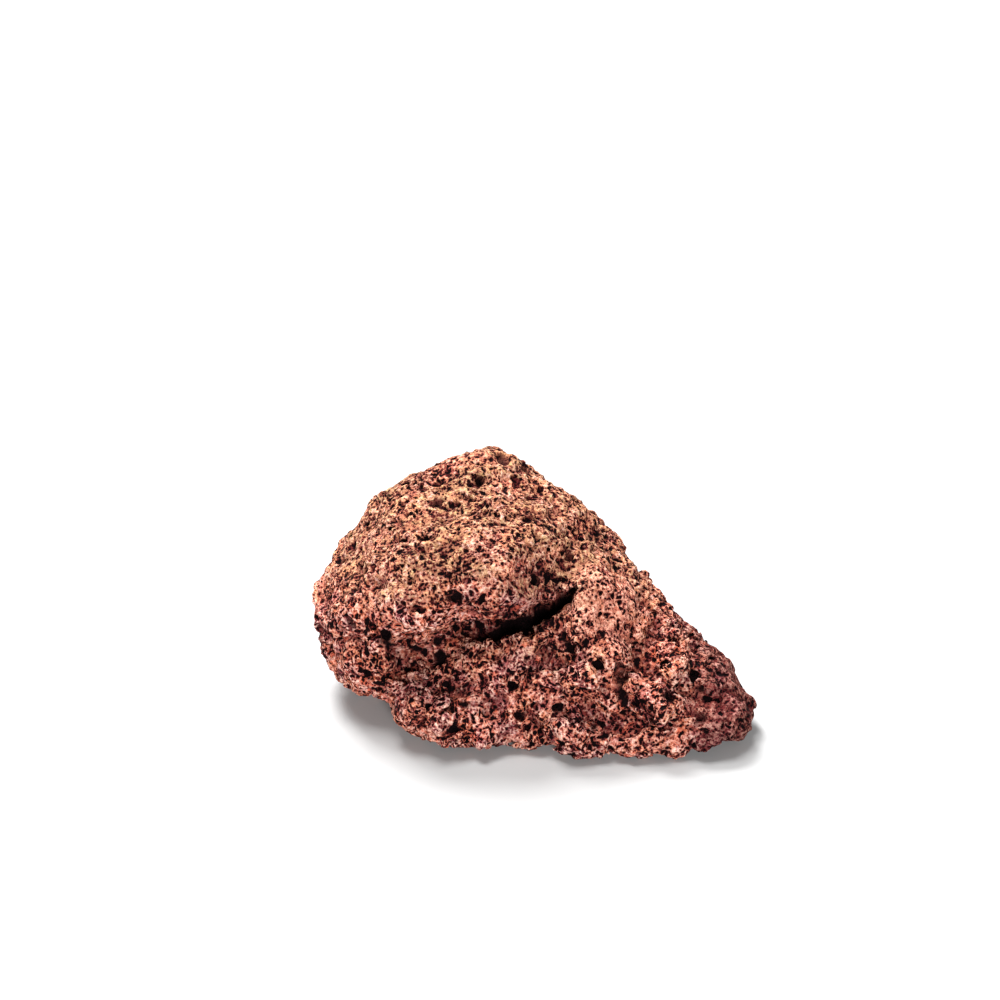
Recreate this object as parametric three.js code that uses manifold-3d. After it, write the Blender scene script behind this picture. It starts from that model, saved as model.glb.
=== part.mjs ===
// A single piece of red vesicular lava (scoria), about 13 cm long, as it lies on a flat surface.
// Millimetres, +Z up. X runs along the stone, from the blunt end (-X) to the low pointed end (+X);
// -Y is the face with the long undercut cleft. The origin is the centre of its footprint box, on the ground.
import * as THREE from "three";
import { ImprovedNoise } from "three/addons/math/ImprovedNoise.js";
import { mergeVertices } from "three/addons/utils/BufferGeometryUtils.js";
import Module from "manifold-3d";

// ---- driving dimensions -------------------------------------------------------------------------

const STEP_X = 2.35; // spacing of the lofted rings along the stone
const LUMP = [
  // [wavelength, height] of the lumps that the broken surface carries
  [30, 1.9],
  [14, 1.5],
  [7, 0.75],
];
// The lumps it stands on: [x, y, how far it reaches down, radius]. They are worn flat at z = 0.
const FEET = [
  [-32, 23, 5.5, 8],
  [-6, 12, 4.0, 7],
  [34, 12, 5.0, 8],
  [44, 30, 4.0, 6],
  [10, 56, 5.5, 9],
  [-26, 66, 5.5, 9],
  [-48, 50, 6.5, 6],
];

// Cross-sections of the stone at stations along X. Each lists 16 [y, z] landmarks, in this order:
//  0 lower front edge, 1-2 lower front face, 3 lower lip of the cleft, 4 bottom of the cleft,
//  5 upper lip, 6-8 front and top of the dome, 9-10 crown, 11-13 back, 14-15 underside.
const SECTIONS = [
  [-61, [[34, 11.9], [31, 18.8], [29, 25.1], [29, 29], [29.5, 32.5], [29.5, 36.4], [32, 40.4], [36, 43.3], [41, 45.6], [48, 45.4], [54, 42], [60, 34], [60, 22], [54, 14], [46, 10], [40, 9.5]]],
  [-53, [[25, 8.7], [20, 16.7], [19, 22], [21, 25.7], [21, 29.5], [18.5, 35], [19, 42.6], [25, 50.2], [35, 56.2], [48, 57.3], [58, 53], [68, 42], [71, 27], [65, 13], [52, 5.5], [36, 5]]],
  [-44, [[19, 10.7], [15, 15.5], [14, 19], [15.5, 22.7], [17.5, 26.5], [14, 33.5], [12, 44.2], [19, 53.5], [33, 60.5], [50, 63.4], [62, 59], [75, 48], [81, 29], [75, 12], [58, 2.5], [32, 3]]],
  [-35, [[10, 7.6], [7, 13], [8, 17.5], [12.5, 21.5], [17, 25.5], [13, 33], [9, 46], [16, 55.9], [33, 63.2], [53, 66.8], [66, 62], [80, 50], [87, 29], [80, 11], [60, 1], [26, 1.5]]],
  [-26, [[4, 5.2], [3, 12], [6, 17.5], [12.5, 24.5], [20, 30.5], [14, 38], [9, 48], [17, 58.2], [38, 65.5], [56, 70.7], [69, 66], [80, 51], [86, 34], [83, 13], [62, 1], [20, 1]]],
  [-18, [[2, 5.4], [3, 12.6], [8, 22], [17, 34], [30, 29.5], [13.5, 40.7], [9, 51], [18, 60.8], [40, 67.6], [58, 73.6], [70, 69], [79, 54], [83, 37], [82, 15], [62, 1], [18, 1]]],
  [-10, [[2, 5.3], [4, 12], [9, 22], [18, 33.8], [32, 30.5], [13.5, 40.6], [10.5, 51], [20, 60.8], [41, 66.2], [58, 71], [70, 67], [79, 52], [82, 35], [84, 14], [62, 1], [18, 1]]],
  [-2, [[3, 5], [5, 12], [10, 22], [19, 35.9], [34, 34], [16, 43.3], [16.5, 50.5], [23.5, 58.7], [41, 64.5], [57, 66.6], [69, 63], [81, 50], [88, 31], [82, 11], [61, 1], [17, 1]]],
  [6, [[3, 3.7], [5, 11.4], [11, 22], [20, 38.6], [35, 38.5], [21.5, 44.6], [25, 49.8], [29, 56], [42, 61.2], [56, 63.4], [67, 59], [79, 46], [86, 28], [79, 9], [58, 1], [15, 1]]],
  [13, [[1, 3.2], [3, 10.5], [7, 21], [13, 34.3], [19, 42.6], [23, 48.7], [30, 50.5], [35, 53.8], [45, 58], [55, 60.5], [66, 56.5], [75, 43], [80, 25], [72, 8], [54, 1], [12, 1]]],
  [20, [[2, 4], [3, 10.5], [6, 20.9], [11, 32.1], [18, 40.8], [26, 47], [33, 49.9], [40, 49.5], [47, 50], [53, 51.2], [62, 47], [70, 36], [73, 22], [66, 7], [50, 1], [12, 1]]],
  [28, [[2, 3.4], [2, 9.8], [5, 17.1], [9, 25.9], [17, 30.3], [21, 35.8], [26, 39], [32, 40.4], [38, 41.6], [45, 41.5], [54, 38], [62, 30], [66, 19], [60, 6], [44, 1], [12, 1]]],
  [37, [[0.5, 3], [0, 9], [3, 14.6], [7, 20.3], [13, 24.2], [17, 27.9], [22, 29.8], [27, 30.6], [33, 31], [40, 30.6], [48, 28.5], [56, 23], [59, 13], [53, 4], [38, 1], [10, 0.5]]],
  [46, [[0, 2.6], [0, 7.6], [2, 12.5], [5, 16.8], [10, 19.2], [14, 21.3], [18, 22.9], [23, 24.1], [29, 24.6], [35, 24.4], [42, 22.8], [48, 18], [50, 11], [46, 4], [32, 1], [10, 0.5]]],
  [54, [[2, 4.1], [1, 8], [3, 11.5], [6, 13.9], [10, 15.2], [12, 17], [15, 18.2], [20, 19.2], [25, 20], [31, 19.6], [37, 18], [42, 14], [43, 9], [39, 4], [28, 1.5], [12, 1.5]]],
  [60, [[8, 3.7], [7, 6.5], [7, 9], [8, 11], [10, 12], [12, 13], [15, 13.8], [18, 14.5], [22, 14.2], [26, 13.8], [31, 11.7], [34, 9], [34, 6], [30, 3.6], [23, 2], [14, 2]]],
];
const BLUNT_END = [-66.4, 46, 31];
const POINTED_END = [64.6, 18, 8];
// Inside the cleft, around this landmark and along this stretch of X, the lumps are this much weaker.
const IN_CLEFT = { landmark: 4, from: -30, to: 14, fade: 8, calm: 0.85 };
// How many steps each span between two landmarks of a section takes.
const SPAN_STEPS = [3, 3, 4, 4, 4, 3, 4, 5, 5, 4, 4, 5, 6, 6, 13, 4];

// Old fracture planes: the surface is pressed back by SHARE of what stands past each.
const FRACTURES = [
  { normal: [0.42, 0.86, 0.28], offset: 84.5, share: 0.7 },
  { normal: [-0.5, 0.8, 0.34], offset: 93.5, share: 0.75 },
  { normal: [0.55, 0.5, 0.67], offset: 73, share: 0.5 },
  { normal: [-0.82, -0.16, 0.55], offset: 62, share: 0.7 },
];

// ---- loft ---------------------------------------------------------------------------------------

// One section as a closed smooth ring of points.
function ringOf([x, landmarks]) {
  const curve = new THREE.CatmullRomCurve3(
    landmarks.map(([y, z]) => new THREE.Vector3(x, y, z)),
    true,
    "centripetal",
  );
  const points = [];
  SPAN_STEPS.forEach((steps, span) => {
    for (let i = 0; i < steps; i++)
      points.push(curve.getPoint((span + i / steps) / landmarks.length));
  });
  return points;
}

const sections = SECTIONS.map(ringOf);
const around = sections[0].length;
// Each ring point's own landmark number, with a fraction for the points between two landmarks.
const landmarkAt = SPAN_STEPS.flatMap((steps, span) =>
  Array.from({ length: steps }, (_, i) => span + i / steps),
);
const blunt = new THREE.Vector3(...BLUNT_END);
const pointed = new THREE.Vector3(...POINTED_END);

// A smooth line along the stone through the same landmark of every section.
const lines = Array.from(
  { length: around },
  (_, j) =>
    new THREE.CatmullRomCurve3(
      [blunt, ...sections.map((s) => s[j]), pointed],
      false,
      "centripetal",
    ),
);

// Where the rings go, as a parameter of those lines: a few close to each end, then every STEP_X.
const stations = [BLUNT_END[0], ...SECTIONS.map((s) => s[0]), POINTED_END[0]];
const along = [0.14, 0.4, 0.7];
for (let k = 1; k < stations.length - 2; k++) {
  const steps = Math.max(1, Math.round((stations[k + 1] - stations[k]) / STEP_X));
  for (let i = 0; i < steps; i++) along.push(k + i / steps);
}
const last = stations.length - 1;
along.push(last - 1, last - 0.65, last - 0.3);

const vertices = [blunt];
for (const t of along)
  for (let j = 0; j < around; j++) vertices.push(lines[j].getPoint(t / last));
vertices.push(pointed);

const faces = [];
const at = (ring, j) => 1 + ring * around + (j % around);
for (let j = 0; j < around; j++) {
  faces.push(0, at(0, j), at(0, j + 1));
  faces.push(
    vertices.length - 1,
    at(along.length - 1, j + 1),
    at(along.length - 1, j),
  );
}
for (let r = 0; r < along.length - 1; r++)
  for (let j = 0; j < around; j++)
    faces.push(
      at(r, j), at(r + 1, j + 1), at(r, j + 1),
      at(r, j), at(r + 1, j), at(r + 1, j + 1),
    );

const loft = new THREE.BufferGeometry().setFromPoints(vertices);
loft.setIndex(faces);

// ---- fracture planes and lumps ------------------------------------------------------------------

const position = loft.getAttribute("position");
const p = new THREE.Vector3();
for (const { normal, offset, share } of FRACTURES) {
  const n = new THREE.Vector3(...normal).normalize();
  for (let i = 0; i < position.count; i++) {
    p.fromBufferAttribute(position, i);
    const past = p.dot(n) - offset;
    if (past > 0) p.addScaledVector(n, -past * share);
    position.setXYZ(i, p.x, p.y, p.z);
  }
}

loft.computeVertexNormals();
const normals = loft.getAttribute("normal");
const perlin = new ImprovedNoise();
function lump(q) {
  let h = 0;
  LUMP.forEach(([wave, height], k) => {
    const n = perlin.noise(q.x / wave + 17.3 * k + 5, q.y / wave + 9.1 * k, q.z / wave + 3.7 * k);
    h += height * (k === 1 ? 0.55 - 2 * Math.abs(n) : 1.3 * n); // the middle one is ridged
  });
  return h;
}
function strength(i, x) {
  const { landmark, from, to, fade, calm } = IN_CLEFT;
  const { smoothstep } = THREE.MathUtils;
  const ring = 1 - smoothstep(Math.abs(landmarkAt[(i - 1 + around) % around] - landmark), 0.6, 1.8);
  return 1 - calm * ring * smoothstep(x, from, from + fade) * (1 - smoothstep(x, to - fade, to));
}
const moved = [];
for (let i = 0; i < position.count; i++) {
  p.fromBufferAttribute(position, i);
  const n = new THREE.Vector3().fromBufferAttribute(normals, i);
  const q = p.clone().addScaledVector(n, lump(p) * strength(i, p.x));
  const facingDown = THREE.MathUtils.smoothstep(-n.z, 0.35, 0.8) * (p.z < 14 ? 1 : 0);
  for (const [x, y, reach, radius] of FEET)
    q.z -= facingDown * reach * Math.exp(-((p.x - x) ** 2 + (p.y - y) ** 2) / radius ** 2);
  moved.push(q);
}
moved.forEach((q, i) => position.setXYZ(i, q.x, q.y, q.z));

// ---- the flat it stands on ----------------------------------------------------------------------

const wasm = await Module();
wasm.setup();

function solidOf(geometry) {
  const bare = geometry.index ? geometry.toNonIndexed() : geometry.clone();
  bare.deleteAttribute("normal");
  bare.deleteAttribute("uv");
  const merged = mergeVertices(bare, 1e-4);
  return new wasm.Manifold(
    new wasm.Mesh({
      numProp: 3,
      vertProperties: new Float32Array(merged.getAttribute("position").array),
      triVerts: new Uint32Array(merged.index.array),
    }),
  );
}

const below = new THREE.BoxGeometry(220, 220, 40).translate(0, 45, -20);
const stone = solidOf(loft).subtract(solidOf(below)).getMesh();

const geometry = new THREE.BufferGeometry();
const xyz = new Float32Array(stone.numVert * 3);
for (let i = 0; i < stone.numVert; i++)
  xyz.set(stone.vertProperties.subarray(i * stone.numProp, i * stone.numProp + 3), i * 3);
geometry.setAttribute("position", new THREE.BufferAttribute(xyz, 3));
geometry.setIndex(new THREE.BufferAttribute(new Uint32Array(stone.triVerts), 1));

// Origin at the centre of the footprint box, on the ground.
geometry.computeBoundingBox();
const box = geometry.boundingBox;
export const shift = [-(box.min.x + box.max.x) / 2, -(box.min.y + box.max.y) / 2, -box.min.z];
geometry.translate(...shift);
geometry.computeVertexNormals();

const rock = new THREE.Mesh(
  geometry,
  new THREE.MeshStandardMaterial({ color: 0x8e5242, roughness: 0.95, metalness: 0 }),
);
rock.name = "lava_rock";

const group = new THREE.Group();
group.name = "lava_rock_piece";
group.add(rock);
export default group;
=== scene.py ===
import math
import time

import bpy
import numpy as np
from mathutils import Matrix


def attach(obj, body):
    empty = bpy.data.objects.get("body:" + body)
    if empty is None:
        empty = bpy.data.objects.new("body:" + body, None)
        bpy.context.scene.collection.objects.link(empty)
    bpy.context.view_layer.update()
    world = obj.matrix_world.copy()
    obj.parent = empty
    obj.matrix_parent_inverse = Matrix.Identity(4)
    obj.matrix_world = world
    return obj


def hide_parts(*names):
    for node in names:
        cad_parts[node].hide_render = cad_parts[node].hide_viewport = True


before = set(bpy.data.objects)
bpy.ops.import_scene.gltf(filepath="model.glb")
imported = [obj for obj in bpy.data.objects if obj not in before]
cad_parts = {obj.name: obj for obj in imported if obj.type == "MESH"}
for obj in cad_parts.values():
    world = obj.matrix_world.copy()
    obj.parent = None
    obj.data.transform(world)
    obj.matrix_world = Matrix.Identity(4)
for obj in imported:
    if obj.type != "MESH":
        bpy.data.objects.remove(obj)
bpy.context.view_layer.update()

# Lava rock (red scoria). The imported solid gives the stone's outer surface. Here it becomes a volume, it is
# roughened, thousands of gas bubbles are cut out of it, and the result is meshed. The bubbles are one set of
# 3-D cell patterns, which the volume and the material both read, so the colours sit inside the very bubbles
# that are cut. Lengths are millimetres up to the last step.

import openvdb
from mathutils import Vector

T0 = time.perf_counter()


def said(what):
    print(f"LAVA {time.perf_counter() - T0:6.1f} s  {what}", flush=True)


# ---- driving numbers ------------------------------------------------------------------------------

VOXEL = 0.4  # mm
SOFTEN = 0.8  # mm, how far the solid's flat facets are blurred away
BAND = 4.6  # mm each side of the surface in which the volume is worked
MOST_FACES = 199_000

# The design frame of the stone's section table, in mm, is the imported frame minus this.
SHIFT = (0.76, -43.29, 0.0)

# The slot of the cleft: x, then the middle (y, z) and half-height of its mouth, and of its deep end.
SLOT = np.array(
    [
        (-26.0, -31.8, 38.4, -1.0, -25.0, 35.0, -1.5),
        (-22.4, -31.4, 38.2, 2.8, -22.0, 33.2, 1.8),
        (-16.9, -30.6, 37.6, 3.4, -18.0, 30.4, 2.6),
        (-7.9, -28.4, 37.6, 2.5, -15.0, 30.2, 2.6),
        (-3.1, -26.8, 38.4, 2.1, -13.5, 31.2, 2.6),
        (2.9, -24.6, 40.0, 2.4, -11.5, 33.5, 2.8),
        (7.1, -22.8, 41.8, 2.7, -10.5, 36.0, 2.8),
        (11.0, -21.2, 44.3, 2.1, -11.5, 39.5, 2.2),
        (12.9, -20.3, 46.8, 0.2, -13.0, 43.0, 0.2),
        (14.5, -19.8, 48.5, -1.5, -15.0, 45.0, -1.5),
    ]
)

# The middle of the smooth slab to the right of the cleft.
SLAB = (23.0, -22.0, 40.0)

# Larger hollows: where each one opens, which way it faces, its radius and its depth.
DENTS = [
    (-16.5, 2.3, 69.9, 0.07, -0.6, 0.8, 1.7, 2.6),
    (-28.6, -2.2, 64.9, 0.17, -0.33, 0.93, 2.3, 1.7),
    (-19.4, -9.5, 65.4, -0.33, -0.22, 0.92, 1.4, 1.7),
    (-1.7, 5.3, 65.1, 0.45, -0.31, 0.84, 1.2, 1.4),
    (0.9, 2.7, 63.7, 0.33, -0.04, 0.94, 1.2, 1.4),
    (11.6, 2.6, 59.2, 0.43, -0.24, 0.87, 1.2, 1.4),
    (-4.8, -8.8, 64.7, 0.19, -0.27, 0.94, 1.4, 1.7),
    (-9.2, -16.3, 63, 0.06, -0.32, 0.94, 1.4, 1.4),
    (4, -12.5, 60, 0.39, -0.43, 0.81, 1.4, 1.7),
    (11.1, -7.8, 55.9, 0.68, -0.14, 0.72, 1.2, 1.4),
    (-31.7, -21.6, 60.2, -0.21, -0.2, 0.96, 1.4, 1.4),
    (-21.6, -23.1, 61.7, -0.11, -0.54, 0.83, 1.2, 1.4),
    (-38.2, -17.8, 60.5, -0.36, -0.36, 0.86, 1.2, 1.2),
    (-31, -30.5, 53.2, -0.04, -0.94, 0.33, 1.4, 1.7),
    (-38.8, -28.4, 52.1, -0.39, -0.56, 0.73, 1.4, 1.2),
    (-54.9, -17, 41.2, -0.89, -0.12, 0.44, 1.2, 1.2),
    (-46.3, -24.7, 47.8, -0.68, -0.39, 0.62, 1.4, 1.4),
    (-23, -32.7, 48.9, -0.04, -0.98, 0.18, 2.3, 2.6),
    (1, -23.6, 50.5, 0.69, -0.54, 0.49, 2.3, 2.9),
    (6.9, -20.8, 46.6, 0.12, -0.57, 0.81, 1.7, 2.3),
    (-40.3, -27.3, 28.2, 0.1, -0.9, 0.43, 3.0, 4.2),
    (-43.2, -28.6, 33.4, 0.02, -0.99, 0.1, 2.3, 3.0),
    (-28.5, -24.6, 25.4, -0.28, -0.67, 0.69, 2.6, 3.2),
    (-34.4, -25.6, 27.4, -0.1, -0.9, 0.43, 2.6, 3.6),
    (-37.4, -24.6, 22.6, 0.0, -0.9, 0.43, 2.2, 2.8),
    (-61.3, -11.3, 26.1, -0.89, -0.38, -0.25, 1.2, 1.4),
    (-6.6, -34.6, 21.7, -0.07, -0.88, 0.48, 1.7, 2.3),
    (-3.6, -39.3, 13.3, 0.24, -0.94, 0.22, 2, 2.9),
    (9.4, -30.7, 32.8, -0.52, -0.66, 0.55, 2.3, 3.0),
    (7.7, -27.8, 35.2, -0.33, -0.83, 0.45, 1.7, 2.4),
    (18.4, -34.2, 28.2, -0.11, -0.74, 0.66, 1.7, 2),
    (24.8, -33.4, 27, 0.36, -0.77, 0.52, 1.7, 2),
    (32.4, -25.7, 29.3, -0.16, -0.91, 0.38, 2, 2.9),
    (28.6, -22.6, 33.9, 0.13, -0.86, 0.5, 2, 1.7),
    (34, -21, 31.7, 0.42, -0.52, 0.74, 1.7, 1.7),
    (24.8, -37.4, 20.7, -0.11, -0.78, 0.62, 2, 2),
    (28.3, -37.2, 21.2, 0.04, -0.89, 0.45, 1.4, 1.7),
    (39.4, -36.8, 19.6, 0.28, -0.84, 0.46, 1.7, 2.3),
    (47.4, -40.9, 14.3, -0.08, -0.79, 0.6, 2.3, 3.2),
    (48.3, -33, 19, 0.09, -0.41, 0.91, 1.7, 2.3),
    (51.7, -35.6, 17.2, 0.19, -0.24, 0.95, 1.7, 2),
    (16.9, -41.9, 12.6, -0.05, -0.9, 0.42, 2, 2.3),
    (6.6, -36.7, 15.1, -0.03, -0.93, 0.36, 1.7, 2.3),
    (4.8, -37.7, 13.7, -0, -0.8, 0.6, 1.4, 2),
    (-20.8, -37.7, 18.5, -0.24, -0.68, 0.69, 1.7, 2.3),
    (3.9, -33.9, 23.6, 0.14, -0.83, 0.54, 1.4, 1.4),
    (-22.9, -22.3, 33, 0.4, -0.58, -0.71, 2, 2.3),
    (-15.8, -32.6, 53.8, 0.13, -0.9, 0.42, 1.2, 1.4),
    (-54.3, -19.4, 28, -0.42, -0.86, 0.27, 1.4, 1.4),
    (-49.4, -26.1, 36.9, -0.81, -0.57, -0.1, 1.2, 1.4),
    (38.2, -29.3, 24.3, -0.08, -0.54, 0.83, 1.4, 1.4),
    (58.8, -31.7, 16.5, 0.37, -0.33, 0.87, 1.4, 1.4),
    (21.9, -40.3, 14.9, 0.13, -0.9, 0.42, 1.4, 1.4),
    (30.7, -39.7, 12.2, 0.16, -0.85, 0.5, 1.4, 1.4),
    (-11.5, -19.3, 33.1, -0.11, 0.33, 0.94, 1.4, 1.4),
]
# Low knobs, given in the same way, with their height.
KNOBS = [
    (-28, -16.3, 62.4, 0.17, -0.4, 0.9, 3.5, 1.4),
    (-23.8, -26.7, 58.7, -0.18, -0.67, 0.72, 2.9, 1.2),
    (-21.8, -1.5, 67.6, 0.04, -0.59, 0.81, 2, 0.9),
    (-13.8, -6.1, 66.9, -0.02, -0.15, 0.99, 2.3, 1.2),
    (-41.4, -26.4, 24.6, 0.24, -0.81, 0.54, 2.3, 1.4),
    (-13.8, -32.5, 44.9, -0, -0.93, -0.37, 2.6, 1.2),
    (-2.2, -29, 46.2, 0.53, -0.84, 0.1, 2.6, 1.2),
    (-10.9, -31.1, 28.1, -0.24, -0.9, 0.37, 2.6, 1.2),
    (8.3, -39.6, 11.8, -0.32, -0.72, 0.61, 2.3, 0.9),
    (-0.4, -31.8, 27.5, 0.02, -0.86, 0.52, 2.6, 0.9),
    (-21.7, -41.2, 8, -0.32, -0.95, -0.06, 2.3, 0.9),
    (-30.4, -36.4, 17.7, -0.38, -0.56, 0.74, 2.9, 1.2),
    (19, -38.6, 19, 0.18, -0.79, 0.58, 2.6, 0.9),
    (14.6, -27.7, 39.5, -0.08, -0.87, 0.48, 2.6, 0.6),
    (-8.6, -27.8, 59.3, 0.46, -0.65, 0.61, 2.9, 0.9),
    (-45, -18.2, 54.2, -0.62, -0.43, 0.66, 2.9, 0.9),
    (-57.4, -7.9, 41.9, -0.76, -0.32, 0.56, 2.6, 0.9),
    (36.4, -40.6, 13.5, -0.28, -0.83, 0.49, 2.6, 0.9),
    (45.8, -24.5, 24.2, 0.39, -0.27, 0.88, 2.6, 0.9),
    (-4.2, -28.3, 33.1, -0.12, -0.8, 0.59, 2.3, 0.9),
    (-34.5, -33.6, 42.8, 0.06, -1, -0.01, 2.6, 1.2),
    (-54.4, -21.9, 19.3, -0.68, -0.74, -0, 2.6, 1.2),
    (12.5, -23, 42.6, 0, 0, 0, 3.5, 1.3),
    (11.8, -27, 36.2, 0, 0, 0, 3.5, 1.5),
    # Broad hollows: a negative height.
    (-34, -27, 30, 0, 0, 0, 8.0, -3.2),
    (-24, -29, 31.5, 0, 0, 0, 5.0, -2.0),
    (-19, -30, 43.5, 0, 0, 0, 4.0, -2.2),
    (6.0, -30, 31.5, 0, 0, 0, 4.5, -2.0),
    (31, -25, 32, 0, 0, 0, 6.0, -2.6),
    (50, -36, 15, 0, 0, 0, 5.0, -1.8),
    (5.0, -25, 49, 0, 0, 0, 4.0, -2.2),
    (-2.5, -27, 52.5, 0, 0, 0, 3.5, -1.4),
    (-14, -39, 17, 0, 0, 0, 5.5, -1.8),
]

# ---- nodes that work in a material and in Geometry Nodes alike --------------------------------------


class Nodes:
    """Makes nodes in a tree. Any argument may be a socket or a plain value."""

    def __init__(self, tree):
        self.tree = tree

    def new(self, kind, inputs=(), out=0, **settings):
        n = self.tree.nodes.new(kind)
        for k, v in settings.items():
            setattr(n, k, v)
        for k, v in dict(inputs).items():
            if isinstance(v, bpy.types.NodeSocket):
                self.tree.links.new(v, n.inputs[k])
            else:
                n.inputs[k].default_value = v
        return n if out is None else n.outputs[out]

    def math(self, op, a, b=None, c=None, clamp=False):
        given = {i: v for i, v in enumerate((a, b, c)) if v is not None}
        return self.new("ShaderNodeMath", given, operation=op, use_clamp=clamp)

    def add(self, a, b):
        return self.math("ADD", a, b)

    def sub(self, a, b):
        return self.math("SUBTRACT", a, b)

    def mul(self, a, b):
        return self.math("MULTIPLY", a, b)

    def most(self, *all_of):
        got = all_of[0]
        for one in all_of[1:]:
            got = self.math("MAXIMUM", got, one)
        return got

    def ramp(self, x, low, high, to_low=0.0, to_high=1.0, smooth=True):
        return self.new(
            "ShaderNodeMapRange",
            {0: x, 1: low, 2: high, 3: to_low, 4: to_high},
            interpolation_type="SMOOTHSTEP" if smooth else "LINEAR",
        )

    def vec(self, op, a, b=None, out=0, scale=None):
        given = {0: a}
        if b is not None:
            given[1] = b
        if scale is not None:
            given["Scale"] = scale
        return self.new("ShaderNodeVectorMath", given, out=out, operation=op)

    def noise(self, at, wave, detail=0.0, rough=0.5, out="Fac", lac=2.0):
        """A noise of this wavelength in mm, about 0 to 1."""
        return self.new(
            "ShaderNodeTexNoise",
            {"Vector": at, "Scale": 1.0 / wave, "Detail": detail, "Roughness": rough, "Lacunarity": lac},
            out=out,
            noise_dimensions="3D",
        )

    def cells(self, at, size):
        """Nearest of a random set of points, one to each cube of this size in mm: its distance in mm and its own three random numbers."""
        n = self.new(
            "ShaderNodeTexVoronoi",
            {"Vector": at, "Scale": 1.0 / size, "Randomness": 1.0},
            out=None,
            voronoi_dimensions="3D",
            feature="F1",
        )
        own = self.new("ShaderNodeSeparateXYZ", {0: n.outputs["Color"]}, out=None)
        return self.mul(n.outputs["Distance"], size), own.outputs


# Bubbles: (cell size, smallest radius, largest radius, share of the cells that hold one, offset of the pattern)
FINE = (1.85, 0.52, 1.00, 0.95, (3.1, 8.7, 1.9))
MIDDLE = (4.4, 0.8, 1.8, 0.6, (31.7, 12.2, 5.5))
COARSE = (11.0, 1.4, 3.0, 0.35, (7.3, 44.1, 23.8))
# The smallest are too small to mesh, and only the material has them.
PIN = (0.95, 0.22, 0.46, 0.95, (13.3, 2.9, 17.7))


def crowd(n, at):
    """Where the bubbles are larger and closer, and where they are small and few: added to their radius, in mm."""
    x, y, z = n.new("ShaderNodeSeparateXYZ", {0: at}, out=None).outputs
    zone = n.noise(n.vec("ADD", at, (21.0, 63.0, 8.0)), 10.0, detail=2.0, rough=0.55)
    wider = n.add(n.ramp(zone, 0.36, 0.64, -0.15, 0.17, smooth=False), n.ramp(z, 34.0, 58.0, 0.04, -0.02))
    return n.add(wider, n.ramp(n.vec("DISTANCE", at, SLAB, out="Value"), 8.0, 18.0, -0.14, 0.0))


def bubbles(n, at, warp, layer, wider=0.0):
    """How far a point is inside the nearest bubble's wall, in mm: negative outside it."""
    size, small, large, share, offset = layer
    d, own = n.cells(n.vec("ADD", n.vec("ADD", at, offset), warp), size)
    # Most bubbles are small: the radius goes with the square of the random number.
    r = n.math("MULTIPLY_ADD", n.mul(own[0], own[0]), large - small, small)
    there = n.math("LESS_THAN", own[1], share)
    r = n.math("MULTIPLY_ADD", n.add(r, 3.0), there, -3.0)
    return n.sub(n.add(r, wider), d)


def warped(n, at):
    """A gentle push that makes the bubbles irregular."""
    w = n.noise(at, 2.2, detail=1.0, rough=0.6, out="Color")
    w2 = n.noise(at, 6.5, out="Color")
    w = n.vec("SCALE", n.vec("SUBTRACT", w, (0.5, 0.5, 0.5)), scale=2.8)
    w2 = n.vec("SCALE", n.vec("SUBTRACT", w2, (0.5, 0.5, 0.5)), scale=4.0)
    return n.vec("ADD", w, w2)


# ---- volume of the stone --------------------------------------------------------------------------

cad = bpy.data.objects["lava_rock"]
cad.data.calc_loop_triangles()
points = np.empty(len(cad.data.vertices) * 3, np.float32)
cad.data.vertices.foreach_get("co", points)
points = points.reshape(-1, 3) * 1000
corners = np.empty(len(cad.data.loop_triangles) * 3, np.int32)
cad.data.loop_triangles.foreach_get("vertices", corners)
corners = corners.reshape(-1, 3).astype(np.uint32)

half = BAND / VOXEL + 6
level = openvdb.FloatGrid.createLevelSetFromPolygons(
    points,
    triangles=corners,
    transform=openvdb.createLinearTransform(voxelSize=VOXEL),
    halfWidth=half,
)
low = np.floor((points.min(0) - 4.0) / VOXEL).astype(int)
high = np.ceil((points.max(0) + 4.0) / VOXEL).astype(int)
shape = tuple(high - low)
sdf = np.empty(shape, np.float32)
level.copyToArray(sdf, ijk=tuple(int(i) for i in low))
said(f"volume {shape}")


def blur(a, sigma):
    """Gaussian blur, sigma in voxels."""
    reach = int(math.ceil(2.5 * sigma))
    taps = np.exp(-0.5 * (np.arange(-reach, reach + 1) / sigma) ** 2)
    taps = (taps / taps.sum()).astype(np.float32)
    for axis in range(3):
        out = a * taps[reach]
        for k in range(1, reach + 1):
            w = taps[reach + k]
            lo = [slice(None)] * 3
            hi = [slice(None)] * 3
            lo[axis], hi[axis] = slice(0, -k), slice(k, None)
            out[tuple(lo)] += w * a[tuple(hi)]
            out[tuple(hi)] += w * a[tuple(lo)]
            edge_lo, edge_hi = [slice(None)] * 3, [slice(None)] * 3
            edge_lo[axis], edge_hi[axis] = slice(0, k), slice(-k, None)
            first, last = [slice(None)] * 3, [slice(None)] * 3
            first[axis], last[axis] = slice(0, 1), slice(-1, None)
            out[tuple(edge_lo)] += w * a[tuple(first)]
            out[tuple(edge_hi)] += w * a[tuple(last)]
        a = out
    return a


sdf = blur(sdf, SOFTEN / VOXEL)
said("softened")


def window(centre, reach):
    """The part of the volume within reach of a point, and its voxels' places in mm."""
    a = np.maximum(np.floor((np.array(centre) - reach) / VOXEL).astype(int) - low, 0)
    b = np.minimum(np.ceil((np.array(centre) + reach) / VOXEL).astype(int) - low, shape)
    axes = [((np.arange(i, j) + l) * VOXEL).astype(np.float32) for i, j, l in zip(a, b, low)]
    return tuple(slice(i, j) for i, j in zip(a, b)), np.meshgrid(*axes, indexing="ij")


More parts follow.
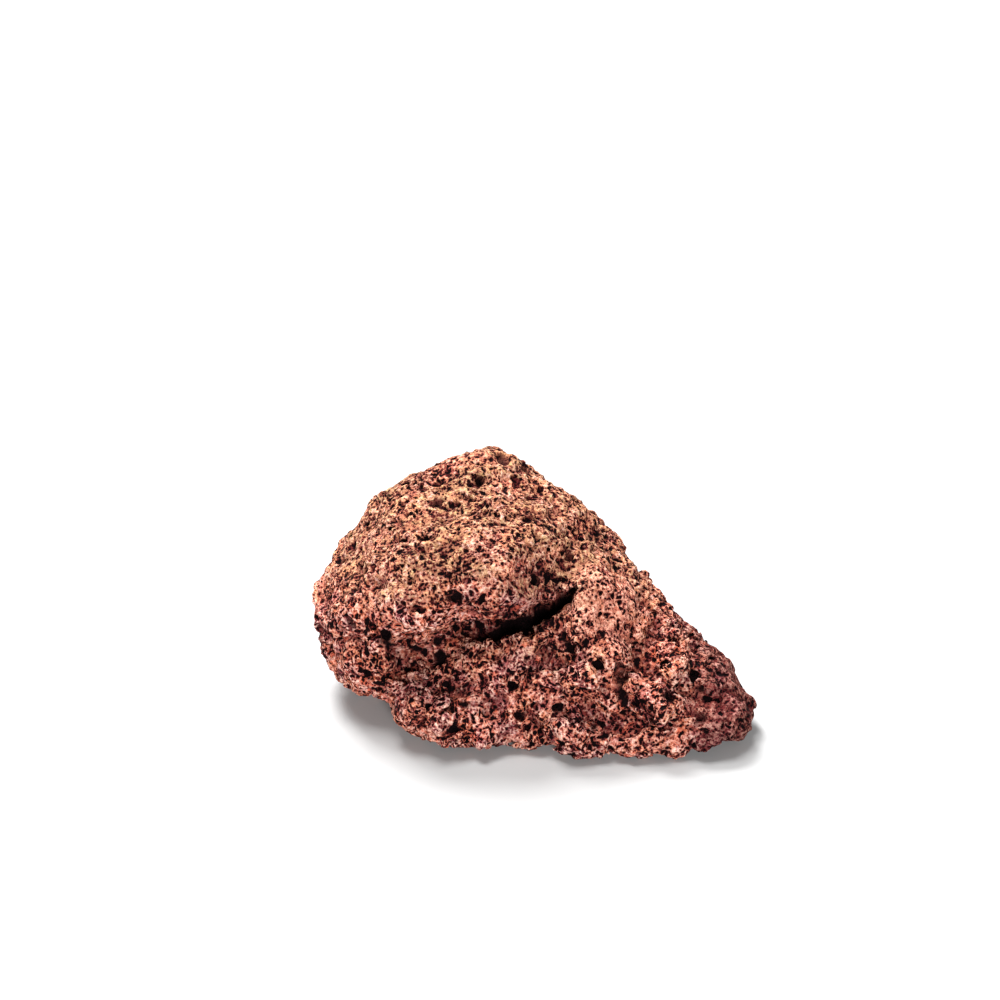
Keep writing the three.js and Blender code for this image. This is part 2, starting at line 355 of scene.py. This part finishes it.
# The slot, as a round-ended wedge in each plane across the stone.
part, (x, y, z) = window((-5, -20, 39), np.array((22, 16, 16)))
ya, za, ra, yb, zb, rb = (np.interp(x, SLOT[:, 0], SLOT[:, k]).astype(np.float32) for k in range(1, 7))
t = ((y - ya) * (yb - ya) + (z - za) * (zb - za)) / ((yb - ya) ** 2 + (zb - za) ** 2)
t = np.clip(t, -0.4, 1)
slot = ra + (rb - ra) * np.clip(t, 0, 1) - np.hypot(y - ya - t * (yb - ya), z - za - t * (zb - za))
hollow = np.full(shape, -9, np.float32)
hollow[part] = slot
for x0, y0, z0, nx, ny, nz, r, h in KNOBS:
    at = window((x0, y0, z0), 2.2 * r)
    sdf[at[0]] -= h * np.exp(-((at[1][0] - x0) ** 2 + (at[1][1] - y0) ** 2 + (at[1][2] - z0) ** 2) / r**2)
uncut = sdf.copy()
sdf[part] = np.maximum(sdf[part], slot - 1.0)
said("slot and knobs")

band = np.flatnonzero(np.abs(sdf.ravel()) < BAND)
ijk = np.stack(np.unravel_index(band, shape), 1)
place = ((ijk + low) * VOXEL).astype(np.float32)
del ijk
said(f"{len(band)} voxels in the band")

# ---- roughness and bubbles, worked out at each voxel by Geometry Nodes ------------------------------


def field(places, build, names):
    """Evaluates a node graph at each place and returns its named results."""
    me = bpy.data.meshes.new("field")
    me.vertices.add(len(places))
    me.vertices.foreach_set("co", places.ravel())
    ob = bpy.data.objects.new("field", me)
    bpy.context.scene.collection.objects.link(ob)
    tree = bpy.data.node_groups.new("field", "GeometryNodeTree")
    tree.interface.new_socket("Geometry", in_out="INPUT", socket_type="NodeSocketGeometry")
    tree.interface.new_socket("Geometry", in_out="OUTPUT", socket_type="NodeSocketGeometry")
    n = Nodes(tree)
    geometry = n.new("NodeGroupInput")
    found = build(n, n.new("GeometryNodeInputPosition"))
    for name, socket in zip(names, found):
        geometry = n.new(
            "GeometryNodeStoreNamedAttribute",
            {"Geometry": geometry, "Name": name, "Value": socket},
            data_type="FLOAT",
            domain="POINT",
        )
    n.new("NodeGroupOutput", {0: geometry}, out=None)
    ob.modifiers.new("field", "NODES").node_group = tree
    got = ob.evaluated_get(bpy.context.evaluated_depsgraph_get()).data
    out = []
    for name in names:
        a = np.empty(len(places), np.float32)
        got.attributes[name].data.foreach_get("value", a)
        out.append(a)
    bpy.data.objects.remove(ob)
    bpy.data.meshes.remove(me)
    bpy.data.node_groups.remove(tree)
    return out


def stone_fields(n, at):
    x, y, z = n.new("ShaderNodeSeparateXYZ", {0: at}, out=None).outputs
    # The lower front is craggier than the dome, the slab and the tip.
    crag = n.mul(n.ramp(z, 50.0, 32.0, 0.5, 1.75), n.ramp(y, 0.0, -20.0, 0.8, 1.0))
    crag = n.mul(crag, n.ramp(z, 3.0, 14.0, 0.55, 1.0))
    crag = n.mul(crag, n.ramp(n.noise(at, 24.0), 0.35, 0.65, 0.75, 1.25))
    crag = n.mul(n.mul(crag, n.ramp(x, 42.0, 56.0, 1.0, 0.3)), n.ramp(x, -44.0, -58.0, 1.0, 0.5))
    crag = n.mul(crag, n.ramp(n.vec("DISTANCE", at, SLAB, out="Value"), 9.0, 17.0, 0.35, 1.0))
    lumps = n.mul(n.sub(n.noise(at, 9.5, detail=2.5, rough=0.6), 0.5), 9.5)
    away = n.math("ABSOLUTE", n.sub(n.noise(n.vec("ADD", at, (9.0, 4.0, 77.0)), 12.0, detail=2.0, rough=0.5), 0.5))
    lumps = n.add(lumps, n.mul(n.ramp(away, 0.055, 0.0), 1.5))
    broad = n.sub(n.noise(n.vec("ADD", at, (3.0, 90.0, 15.0)), 16.0, detail=1.0), 0.5)
    lumps = n.mul(n.add(lumps, n.mul(broad, n.ramp(z, 48.0, 30.0, 0.0, 7.0))), crag)
    grit = n.mul(n.sub(n.noise(at, 2.8, detail=2.0, rough=0.6), 0.5), 3.0)
    warp = warped(n, at)
    wider = crowd(n, at)
    fine, middle, coarse = (bubbles(n, at, warp, layer, wider) for layer in (FINE, MIDDLE, COARSE))
    return lumps, grit, fine, n.most(middle, coarse)


lumps, grit, fine, cut = field(place, stone_fields, ("lumps", "grit", "fine", "cut"))
said(f"fields: lumps {lumps.min():.2f} {lumps.max():.2f}, grit {grit.min():.2f} {grit.max():.2f}, cut {cut.max():.2f}")

near = sdf.ravel()[band]
skin = near + lumps  # the surface with its lumps but no bubbles
body = skin + grit
dense = np.zeros(shape, np.float32)
dense.ravel()[band] = grit
dents = np.where(hollow > -3, hollow + 1.5 * dense, -9).astype(np.float32)
for x0, y0, z0, nx, ny, nz, r, deep in DENTS:
    if r < 1.5:
        continue
    deep *= 1.5
    part, (x, y, z) = window((x0, y0, z0), max(r, deep) + 2.0)
    up = (x - x0) * nx + (y - y0) * ny + (z - z0) * nz
    flat = np.sqrt(np.maximum((x - x0) ** 2 + (y - y0) ** 2 + (z - z0) ** 2 - up**2, 0))
    inside = 1 - np.hypot(flat / r, np.minimum(up, 0) / deep)
    dents[part] = np.maximum(dents[part], np.where(up < 2.5, inside * min(r, deep) + 1.6 * dense[part], -9))
body = np.maximum(body, dents.ravel()[band])
# Bubbles deep under the surface are filled, so no hidden caves are meshed.
body = np.maximum(body, cut - 4.0 * np.clip((-skin - 1.8) / 1.6, 0, 1))
body = np.maximum(body, fine - 2.0 * np.clip((-skin - 0.7) / 1.2, 0, 1))
whole = sdf.copy().ravel()
whole[band] = body
whole = np.clip(whole, -1.2, 1.2).reshape(shape)
whole = blur(whole, 0.75)  # takes off threads of stone thinner than the grid can hold
skin_field = uncut.ravel().copy()
skin_field[band] += lumps
skin_field = skin_field.reshape(shape)

# It stands on z = 0: whatever is below is cut off.
z = ((np.arange(shape[2]) + low[2]) * VOXEL).astype(np.float32)
whole = np.maximum(whole, -z[None, None, :])
said("volume cut")

# How much stone there is within a few millimetres: over a half in a hollow, less on a crest.
solid = blur((whole[::2, ::2, ::2] < 0).astype(np.float32), 2.6 / (2 * VOXEL))

out = openvdb.FloatGrid(3.0)
out.transform = openvdb.createLinearTransform(voxelSize=VOXEL)
out.copyFromArray(np.ascontiguousarray(whole), ijk=tuple(int(i) for i in low))
verts, tris, quads = out.convertToPolygons(isovalue=0.0, adaptivity=0.0)
said(f"meshed: {len(verts)} vertices, {len(tris)} triangles, {len(quads)} quads")

# ---- only the outer skin is kept --------------------------------------------------------------------


def biggest(verts, quads):
    """Keeps the largest connected surface, so no closed bubble or loose crumb is left."""
    label = np.arange(len(verts))
    edges = np.concatenate([quads[:, [0, 1]], quads[:, [1, 2]], quads[:, [2, 3]]])
    a, b = edges[:, 0], edges[:, 1]
    while True:
        least = np.minimum(label[a], label[b])
        new = label.copy()
        np.minimum.at(new, a, least)
        np.minimum.at(new, b, least)
        new = new[new]
        new = new[new]
        if (new == label).all():
            break
        label = new
    roots, count = np.unique(label, return_counts=True)
    keep = label == roots[count.argmax()]
    index = np.cumsum(keep) - 1
    return verts[keep], index[quads[keep[quads[:, 0]]]], len(roots)


assert len(tris) == 0
verts, quads, islands = biggest(verts, quads.astype(np.int64))
said(f"kept {len(verts)} vertices, {len(quads)} quads of {islands} islands")

me = bpy.data.meshes.new("lava_rock_skin")
me.vertices.add(len(verts))
me.vertices.foreach_set("co", (verts / 1000).astype(np.float32).ravel())
me.loops.add(len(quads) * 4)
me.loops.foreach_set("vertex_index", quads.astype(np.int32).ravel())
me.polygons.add(len(quads))
me.polygons.foreach_set("loop_start", np.arange(0, len(quads) * 4, 4, dtype=np.int32))
me.update(calc_edges=True)
rock = bpy.data.objects.new("lava_rock_stone", me)
bpy.context.scene.collection.objects.link(rock)

dec = rock.modifiers.new("decimate", "DECIMATE")
dec.ratio = MOST_FACES / (2 * len(quads))
dec.use_collapse_triangulate = True
thin = bpy.data.meshes.new_from_object(rock.evaluated_get(bpy.context.evaluated_depsgraph_get()))
rock.modifiers.clear()
rock.data = thin
bpy.data.meshes.remove(me)
thin.name = "lava_rock_stone"
said(f"decimated to {len(thin.polygons)} faces")

# ---- what the material reads at each vertex ---------------------------------------------------------


def sample(a, at, step=1):
    f = (at / VOXEL - low) / step
    i = np.clip(np.floor(f).astype(int), 0, np.array(a.shape) - 2)
    f = (f - i).astype(np.float32)
    x, y, z = i.T
    u, v, w = f.T
    got = 0
    for dx in (0, 1):
        for dy in (0, 1):
            for dz in (0, 1):
                weight = (u if dx else 1 - u) * (v if dy else 1 - v) * (w if dz else 1 - w)
                got = got + weight * a[x + dx, y + dy, z + dz]
    return got


co = np.empty(len(thin.vertices) * 3, np.float32)
thin.vertices.foreach_get("co", co)
co = co.reshape(-1, 3) * 1000
depth = -sample(skin_field, co)
up = sample(sdf, co + (0, 0, 1.2)) - sample(sdf, co - (0, 0, 1.2))
cavity = sample(solid, co, 2) - 0.5
said(f"cavity {np.percentile(cavity, [2, 10, 50, 90, 98]).round(3)}")
said(f"depth {np.percentile(depth, [5, 50, 95, 99]).round(2)}")

# ---- a flat map, for whoever turns the material into an image ---------------------------------------
# Six flat views of the stone, side by side. A face goes to the view that the stone's smooth surface faces, so a
# bubble's wall stays with its rim. The roof and floor of the slot, which would hide each other, have views of their own.

corners = np.empty(len(thin.loops), np.int32)
thin.loops.foreach_get("vertex_index", corners)
assert len(corners) == 3 * len(thin.polygons)
corners = corners.reshape(-1, 3)
middles = co[corners].mean(1)
smooth = blur(skin_field[::2, ::2, ::2], 3.0 / (2 * VOXEL))
facing = np.stack([sample(smooth, middles + 2 * e, 2) - sample(smooth, middles - 2 * e, 2) for e in np.eye(3)], 1)
view = np.abs(facing).argmax(1)
view = 2 * view + (np.take_along_axis(facing, view[:, None], 1)[:, 0] < 0)
in_hollow = sample(hollow, middles)
in_slot = (in_hollow > -2.0) & (sample(uncut, middles) < -2.0)
roof = sample(hollow, middles + (0, 0, 1.2)) < sample(hollow, middles - (0, 0, 1.2))
view[in_slot] = np.where(roof[in_slot], 7, 6)
# Each view: its axis to the right, its axis up, its scale, and its column and row.
X, Y, Z = np.eye(3)
VIEWS = [
    (Y, Z, 1.0, 1, 0),
    (-Y, Z, 1.0, 1, 1),
    (-X, Z, 1.0, 0, 2),
    (X, Z, 1.0, 0, 1),
    (X, Y, 1.0, 0, 0),
    (-X, Y, 0.48, 1, 2),
    (X, Y, 1.0, 1, 2),
    (-X, Y, 1.0, 1, 2),
]
flat = np.empty((len(corners), 3, 2))
boxes = []
for k, (right, above, scale, column, row) in enumerate(VIEWS):
    seen = co[corners[view == k]]
    seen = np.stack([seen @ right, seen @ above], -1) * scale
    seen -= seen.reshape(-1, 2).min(0)
    flat[view == k] = seen
    boxes.append(seen.reshape(-1, 2).max(0) + 1.0)
# The slot's two stand above the bottom's, side by side.
corner_of = [np.zeros(2) for _ in VIEWS]
corner_of[6] = np.array((0, boxes[5][1]))
corner_of[7] = np.array((boxes[6][0], boxes[5][1]))
wide, tall = [0.0, 0.0], [0.0, 0.0, 0.0]
for at_corner, box, (_, _, _, column, row) in zip(corner_of, boxes, VIEWS):
    wide[column] = max(wide[column], at_corner[0] + box[0])
    tall[row] = max(tall[row], at_corner[1] + box[1])
for k, (_, _, _, column, row) in enumerate(VIEWS):
    flat[view == k] += corner_of[k] + (sum(wide[:column]) + 0.5, sum(tall[:row]) + 0.5)
flat /= (sum(wide), sum(tall))
said(f"map {sum(wide):.0f} x {sum(tall):.0f} mm, faces to a view {np.bincount(view, minlength=8)}")

# The faces are put in order of how far out they are, so that where two meet on the map the outer one is drawn last.
out_of = np.stack([np.cross(right, above) for right, above, *_ in VIEWS])
order = np.argsort((middles * out_of[view]).sum(1), kind="stable")
me = bpy.data.meshes.new("lava_rock_stone")
me.vertices.add(len(co))
me.vertices.foreach_set("co", (co / 1000).astype(np.float32).ravel())
me.loops.add(3 * len(order))
me.loops.foreach_set("vertex_index", corners[order].astype(np.int32).ravel())
me.polygons.add(len(order))
me.polygons.foreach_set("loop_start", np.arange(0, 3 * len(order), 3, dtype=np.int32))
me.update(calc_edges=True)
for name, values in (("depth", depth), ("up", np.clip(up / 2.4, -1, 1)), ("cavity", cavity)):
    me.attributes.new(name, "FLOAT", "POINT").data.foreach_set("value", values.astype(np.float32))
me.uv_layers.new(name="OFBake").data.foreach_set("uv", flat[order].astype(np.float32).ravel())
me.shade_smooth()
rock.data = me
bpy.data.meshes.remove(thin)
thin = me
thin.name = "lava_rock_stone"

# ---- material -------------------------------------------------------------------------------------

mat = bpy.data.materials.new("red_scoria")
mat.use_nodes = True
tree = mat.node_tree
tree.nodes.clear()
n = Nodes(tree)
where = n.new("ShaderNodeTexCoord", out="Object")
at = n.vec("SCALE", where, scale=1000.0)
depth_s = n.new("ShaderNodeAttribute", attribute_name="depth", out="Fac")
up_s = n.new("ShaderNodeAttribute", attribute_name="up", out="Fac")
cavity_s = n.new("ShaderNodeAttribute", attribute_name="cavity", out="Fac")
warp = warped(n, at)
wider = crowd(n, at)
fine = bubbles(n, at, warp, FINE, wider)
middle = bubbles(n, at, warp, MIDDLE, wider)
small = n.vec("SCALE", n.vec("SUBTRACT", n.noise(at, 0.9, out="Color"), (0.5, 0.5, 0.5)), scale=0.7)
pin = bubbles(n, at, small, PIN, n.add(n.mul(wider, 0.6), 0.03))


def mix(a, b, f):
    node = n.new(
        "ShaderNodeMix",
        data_type="RGBA",
        out=None,
    )
    for k, v in ((0, f), (6, a), (7, b)):
        if isinstance(v, bpy.types.NodeSocket):
            tree.links.new(v, node.inputs[k])
        else:
            node.inputs[k].default_value = v
    return node.outputs[2]


def rgb(r, g, b):
    """A colour given as 0 to 255 on a screen, made linear."""
    f = [c / 255 for c in (r, g, b)]
    return (*(c / 12.92 if c < 0.04045 else ((c + 0.055) / 1.055) ** 2.4 for c in f), 1.0)


patches = n.noise(at, 16.0, detail=2.0, rough=0.6)
mottle = n.noise(at, 4.2, detail=2.0, rough=0.65)
grain = n.noise(at, 1.05, detail=2.0, rough=0.6)
chips = n.noise(n.vec("ADD", at, (50.0, 20.0, 9.0)), 2.0, detail=2.0, rough=0.6)
hue = n.noise(n.vec("ADD", at, (5.0, 70.0, 33.0)), 1.6, detail=1.0, out="Color")
hue = n.new("ShaderNodeSeparateXYZ", {0: hue}, out=None).outputs
tint = n.noise(at, 7.5, detail=1.0)
x, y, z = n.new("ShaderNodeSeparateXYZ", {0: at}, out=None).outputs

red = mix(rgb(204, 110, 94), rgb(214, 112, 76), n.ramp(mottle, 0.38, 0.68))
red = mix(red, rgb(172, 84, 88), n.ramp(tint, 0.5, 0.68))
red = mix(red, rgb(190, 84, 48), n.mul(n.ramp(hue[0], 0.58, 0.7), 0.6))
red = mix(red, rgb(150, 108, 108), n.mul(n.ramp(hue[1], 0.58, 0.7), 0.5))
tan = mix(rgb(156, 95, 74), rgb(168, 116, 86), n.ramp(mottle, 0.4, 0.7))
tan = mix(tan, rgb(156, 124, 86), n.mul(n.ramp(hue[2], 0.56, 0.7), 0.5))
dusty = n.mul(n.ramp(up_s, -0.1, 0.75), n.ramp(patches, 0.3, 0.6, 0.5, 1.0))
dusty = n.mul(dusty, n.ramp(z, 18.0, 52.0, 0.2, 1.0))
colour = mix(red, tan, dusty)
stain = n.mul(n.ramp(n.add(x, n.mul(patches, 14.0)), 47.0, 60.0), 0.9)
colour = mix(colour, rgb(88, 42, 38), stain)
maroon = n.ramp(n.noise(n.vec("ADD", at, (80.0, 6.0, 41.0)), 11.0, detail=2.0, rough=0.6), 0.52, 0.66)
maroon = n.mul(maroon, n.ramp(dusty, 0.6, 0.0))
colour = mix(colour, rgb(108, 42, 52), n.mul(maroon, 0.6))
# In and out of the pits: from the dark of a pit, which is painted shade, over its red rim, to the bright wall between
# pits.
pit = n.most(fine, middle, n.sub(pin, 0.05))
rough_pit = n.add(pit, n.mul(n.sub(grain, 0.5), -1.1))
wall = n.ramp(rough_pit, 0.02, -0.42)
pale = mix(rgb(255, 208, 190), rgb(200, 158, 120), dusty)
pale = mix(pale, rgb(194, 156, 108), n.mul(n.ramp(hue[2], 0.54, 0.68), dusty))
pale = mix(pale, rgb(246, 162, 118), n.mul(n.ramp(tint, 0.5, 0.36), 0.55))
pale = mix(pale, rgb(222, 172, 168), n.mul(n.ramp(hue[1], 0.54, 0.68), 0.6))
ember = n.ramp(n.noise(n.vec("ADD", at, (11.0, 37.0, 92.0)), 3.4, detail=1.5), 0.6, 0.68)
ember = n.mul(n.mul(ember, n.ramp(dusty, 0.7, 0.2, 0.0, 0.7)), n.sub(1.0, stain))
colour = mix(colour, rgb(198, 84, 56), ember)
pale = mix(pale, rgb(240, 130, 100), ember)
slab = n.ramp(n.add(n.vec("DISTANCE", at, SLAB, out="Value"), n.mul(n.sub(mottle, 0.5), 20.0)), 20.0, 6.0)
pale = mix(pale, rgb(240, 172, 148), n.mul(slab, 0.8))
colour = mix(colour, rgb(196, 116, 96), n.mul(slab, 0.5))
pale = mix(pale, rgb(158, 104, 94), n.most(stain, n.mul(maroon, 0.35)))
# Painted shade: where more stone is round a point, in hollows, the colour goes dark red and the pale walls are dimmed,
# less so on the slab. Three zones are darkened the same way: under the brow over the cleft, at the lower left, and near
# the tip.
hollow_shade = n.mul(n.ramp(cavity_s, 0.0, 0.13), n.ramp(slab, 0.0, 1.0, 1.0, 0.4, smooth=False))
brow = n.ramp(n.vec("DISTANCE", at, (-1.0, -28.0, 48.0), out="Value"), 16.0, 5.0)
left = n.ramp(n.vec("DISTANCE", at, (-37.0, -27.0, 26.5), out="Value"), 11.0, 4.0)
right = n.ramp(n.vec("DISTANCE", at, (52.0, -35.0, 15.0), out="Value"), 9.0, 3.0)
hollow_shade = n.most(hollow_shade, n.mul(n.most(brow, left, right), n.ramp(mottle, 0.3, 0.6, 0.45, 1.0)))
# Painted highlight: on crests the pale walls show a little more.
crest = n.ramp(cavity_s, 0.02, -0.13)
colour = mix(colour, rgb(102, 34, 36), n.mul(hollow_shade, 0.7))
wall = n.mul(wall, n.ramp(hollow_shade, 0.0, 1.0, 1.0, 0.55, smooth=False))
wall = n.mul(wall, n.ramp(n.noise(at, 0.8, detail=1.0), 0.36, 0.54, 0.4, 1.0, smooth=False))
colour = mix(colour, pale, n.mul(wall, n.ramp(n.add(chips, n.mul(crest, 0.1)), 0.4, 0.62, 0.1, 1.0)))
colour = mix(colour, rgb(92, 29, 32), n.ramp(rough_pit, -0.14, 0.12))
# Inside the holes that are cut the rock is dark red, partly its own colour and partly painted shade, and deeper in, and
# in the slot, it is painted near black as shade. The smallest holes, which aren't cut, are painted near black as shade,
# and so are dark flecks from a noise of their own.
colour = mix(colour, rgb(84, 28, 30), n.mul(n.ramp(depth_s, 0.3, 1.2), 0.6))
colour = mix(colour, rgb(14, 4, 6), n.most(n.ramp(rough_pit, 0.0, 0.25), n.ramp(chips, 0.41, 0.3)))
colour = mix(colour, rgb(18, 6, 8), n.ramp(depth_s, 0.9, 3.0))

height = n.sub(n.add(n.mul(grain, 1.2), n.mul(chips, 1.0)), n.most(fine, pin, -0.3))
bump = n.new("ShaderNodeBump", {"Strength": 1.0, "Distance": 0.0014, "Height": height}, out="Normal")
bsdf = n.new(
    "ShaderNodeBsdfPrincipled",
    {"Base Color": colour, "Roughness": 0.92, "Specular IOR Level": 0.06, "Normal": bump},
    out="BSDF",
)
n.new("ShaderNodeOutputMaterial", {"Surface": bsdf}, out=None)
thin.materials.clear()
thin.materials.append(mat)

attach(rock, "root")
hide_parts("lava_rock")

# ---- floor, light, camera ---------------------------------------------------------------------------

floor_me = bpy.data.meshes.new("floor")
floor_me.from_pydata([(-4, -4, 0), (4, -4, 0), (4, 4, 0), (-4, 4, 0)], [], [(0, 1, 2, 3)])
floor = bpy.data.objects.new("floor", floor_me)
bpy.context.scene.collection.objects.link(floor)
floor_mat = bpy.data.materials.new("white_floor")
floor_mat.use_nodes = True
floor_bsdf = floor_mat.node_tree.nodes["Principled BSDF"]
floor_bsdf.inputs["Base Color"].default_value = (0.45, 0.45, 0.45, 1)
floor_bsdf.inputs["Roughness"].default_value = 0.9
floor_bsdf.inputs["Specular IOR Level"].default_value = 0.1
# Far from the stone, past the reach of the lights, the floor is as white as the room.
f = Nodes(floor_mat.node_tree)
far = f.vec("LENGTH", f.new("ShaderNodeTexCoord", out="Object"), out="Value")
floor_mat.node_tree.links.new(f.ramp(far, 0.3, 0.9), floor_bsdf.inputs["Emission Strength"])
floor_bsdf.inputs["Emission Color"].default_value = (1, 1, 1, 1)
floor_me.materials.append(floor_mat)


def area(name, at, to, size, watts):
    light = bpy.data.lights.new(name, "AREA")
    light.shape = "DISK"
    light.size = size
    light.energy = watts
    ob = bpy.data.objects.new(name, light)
    ob.location = at
    ob.rotation_euler = (Vector(to) - Vector(at)).to_track_quat("-Z", "Y").to_euler()
    bpy.context.scene.collection.objects.link(ob)
    return ob


area("key", (-0.28, 0.5, 0.93), (0, 0, 0.02), 0.5, 24.5)
area("top", (-0.17, -0.06, 0.99), (0, 0, 0.03), 0.45, 8.9)
area("front", (0.11, -1.5, 0.56), (0, 0, 0.03), 0.35, 23.8)

scene = bpy.context.scene
world = bpy.data.worlds.new("studio")
world.use_nodes = True
sky = world.node_tree
sky.nodes.clear()
w = Nodes(sky)
# The room around is dim, and what the camera sees of it is white.
seen = w.new("ShaderNodeLightPath", out="Is Camera Ray")
back = w.new(
    "ShaderNodeBackground",
    {"Color": (1, 1, 1, 1), "Strength": w.ramp(seen, 0.0, 1.0, 0.26, 1.0, smooth=False)},
)
w.new("ShaderNodeOutputWorld", {"Surface": back}, out=None)
scene.world = world
scene.view_settings.view_transform = "Standard"

E = math.radians(27)
D = 300 / 36 * 100
wc = 42 * math.cos(E) - 32 * math.sin(E)
eye = (
    -10.8,
    77.1 * math.sin(E) + (wc - D) * math.cos(E),
    77.1 * math.cos(E) - (wc - D) * math.sin(E),
)
cam_data = bpy.data.cameras.new("camera")
cam_data.lens = 100
cam_data.sensor_width = 36
cam_data.clip_start = 0.05
cam_data.clip_end = 20
cam = bpy.data.objects.new("camera", cam_data)
cam.location = [(a + b) / 1000 for a, b in zip(eye, SHIFT)]
cam.rotation_euler = (math.pi / 2 - E, 0, 0)
scene.collection.objects.link(cam)
scene.camera = cam

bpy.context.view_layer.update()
said("done")
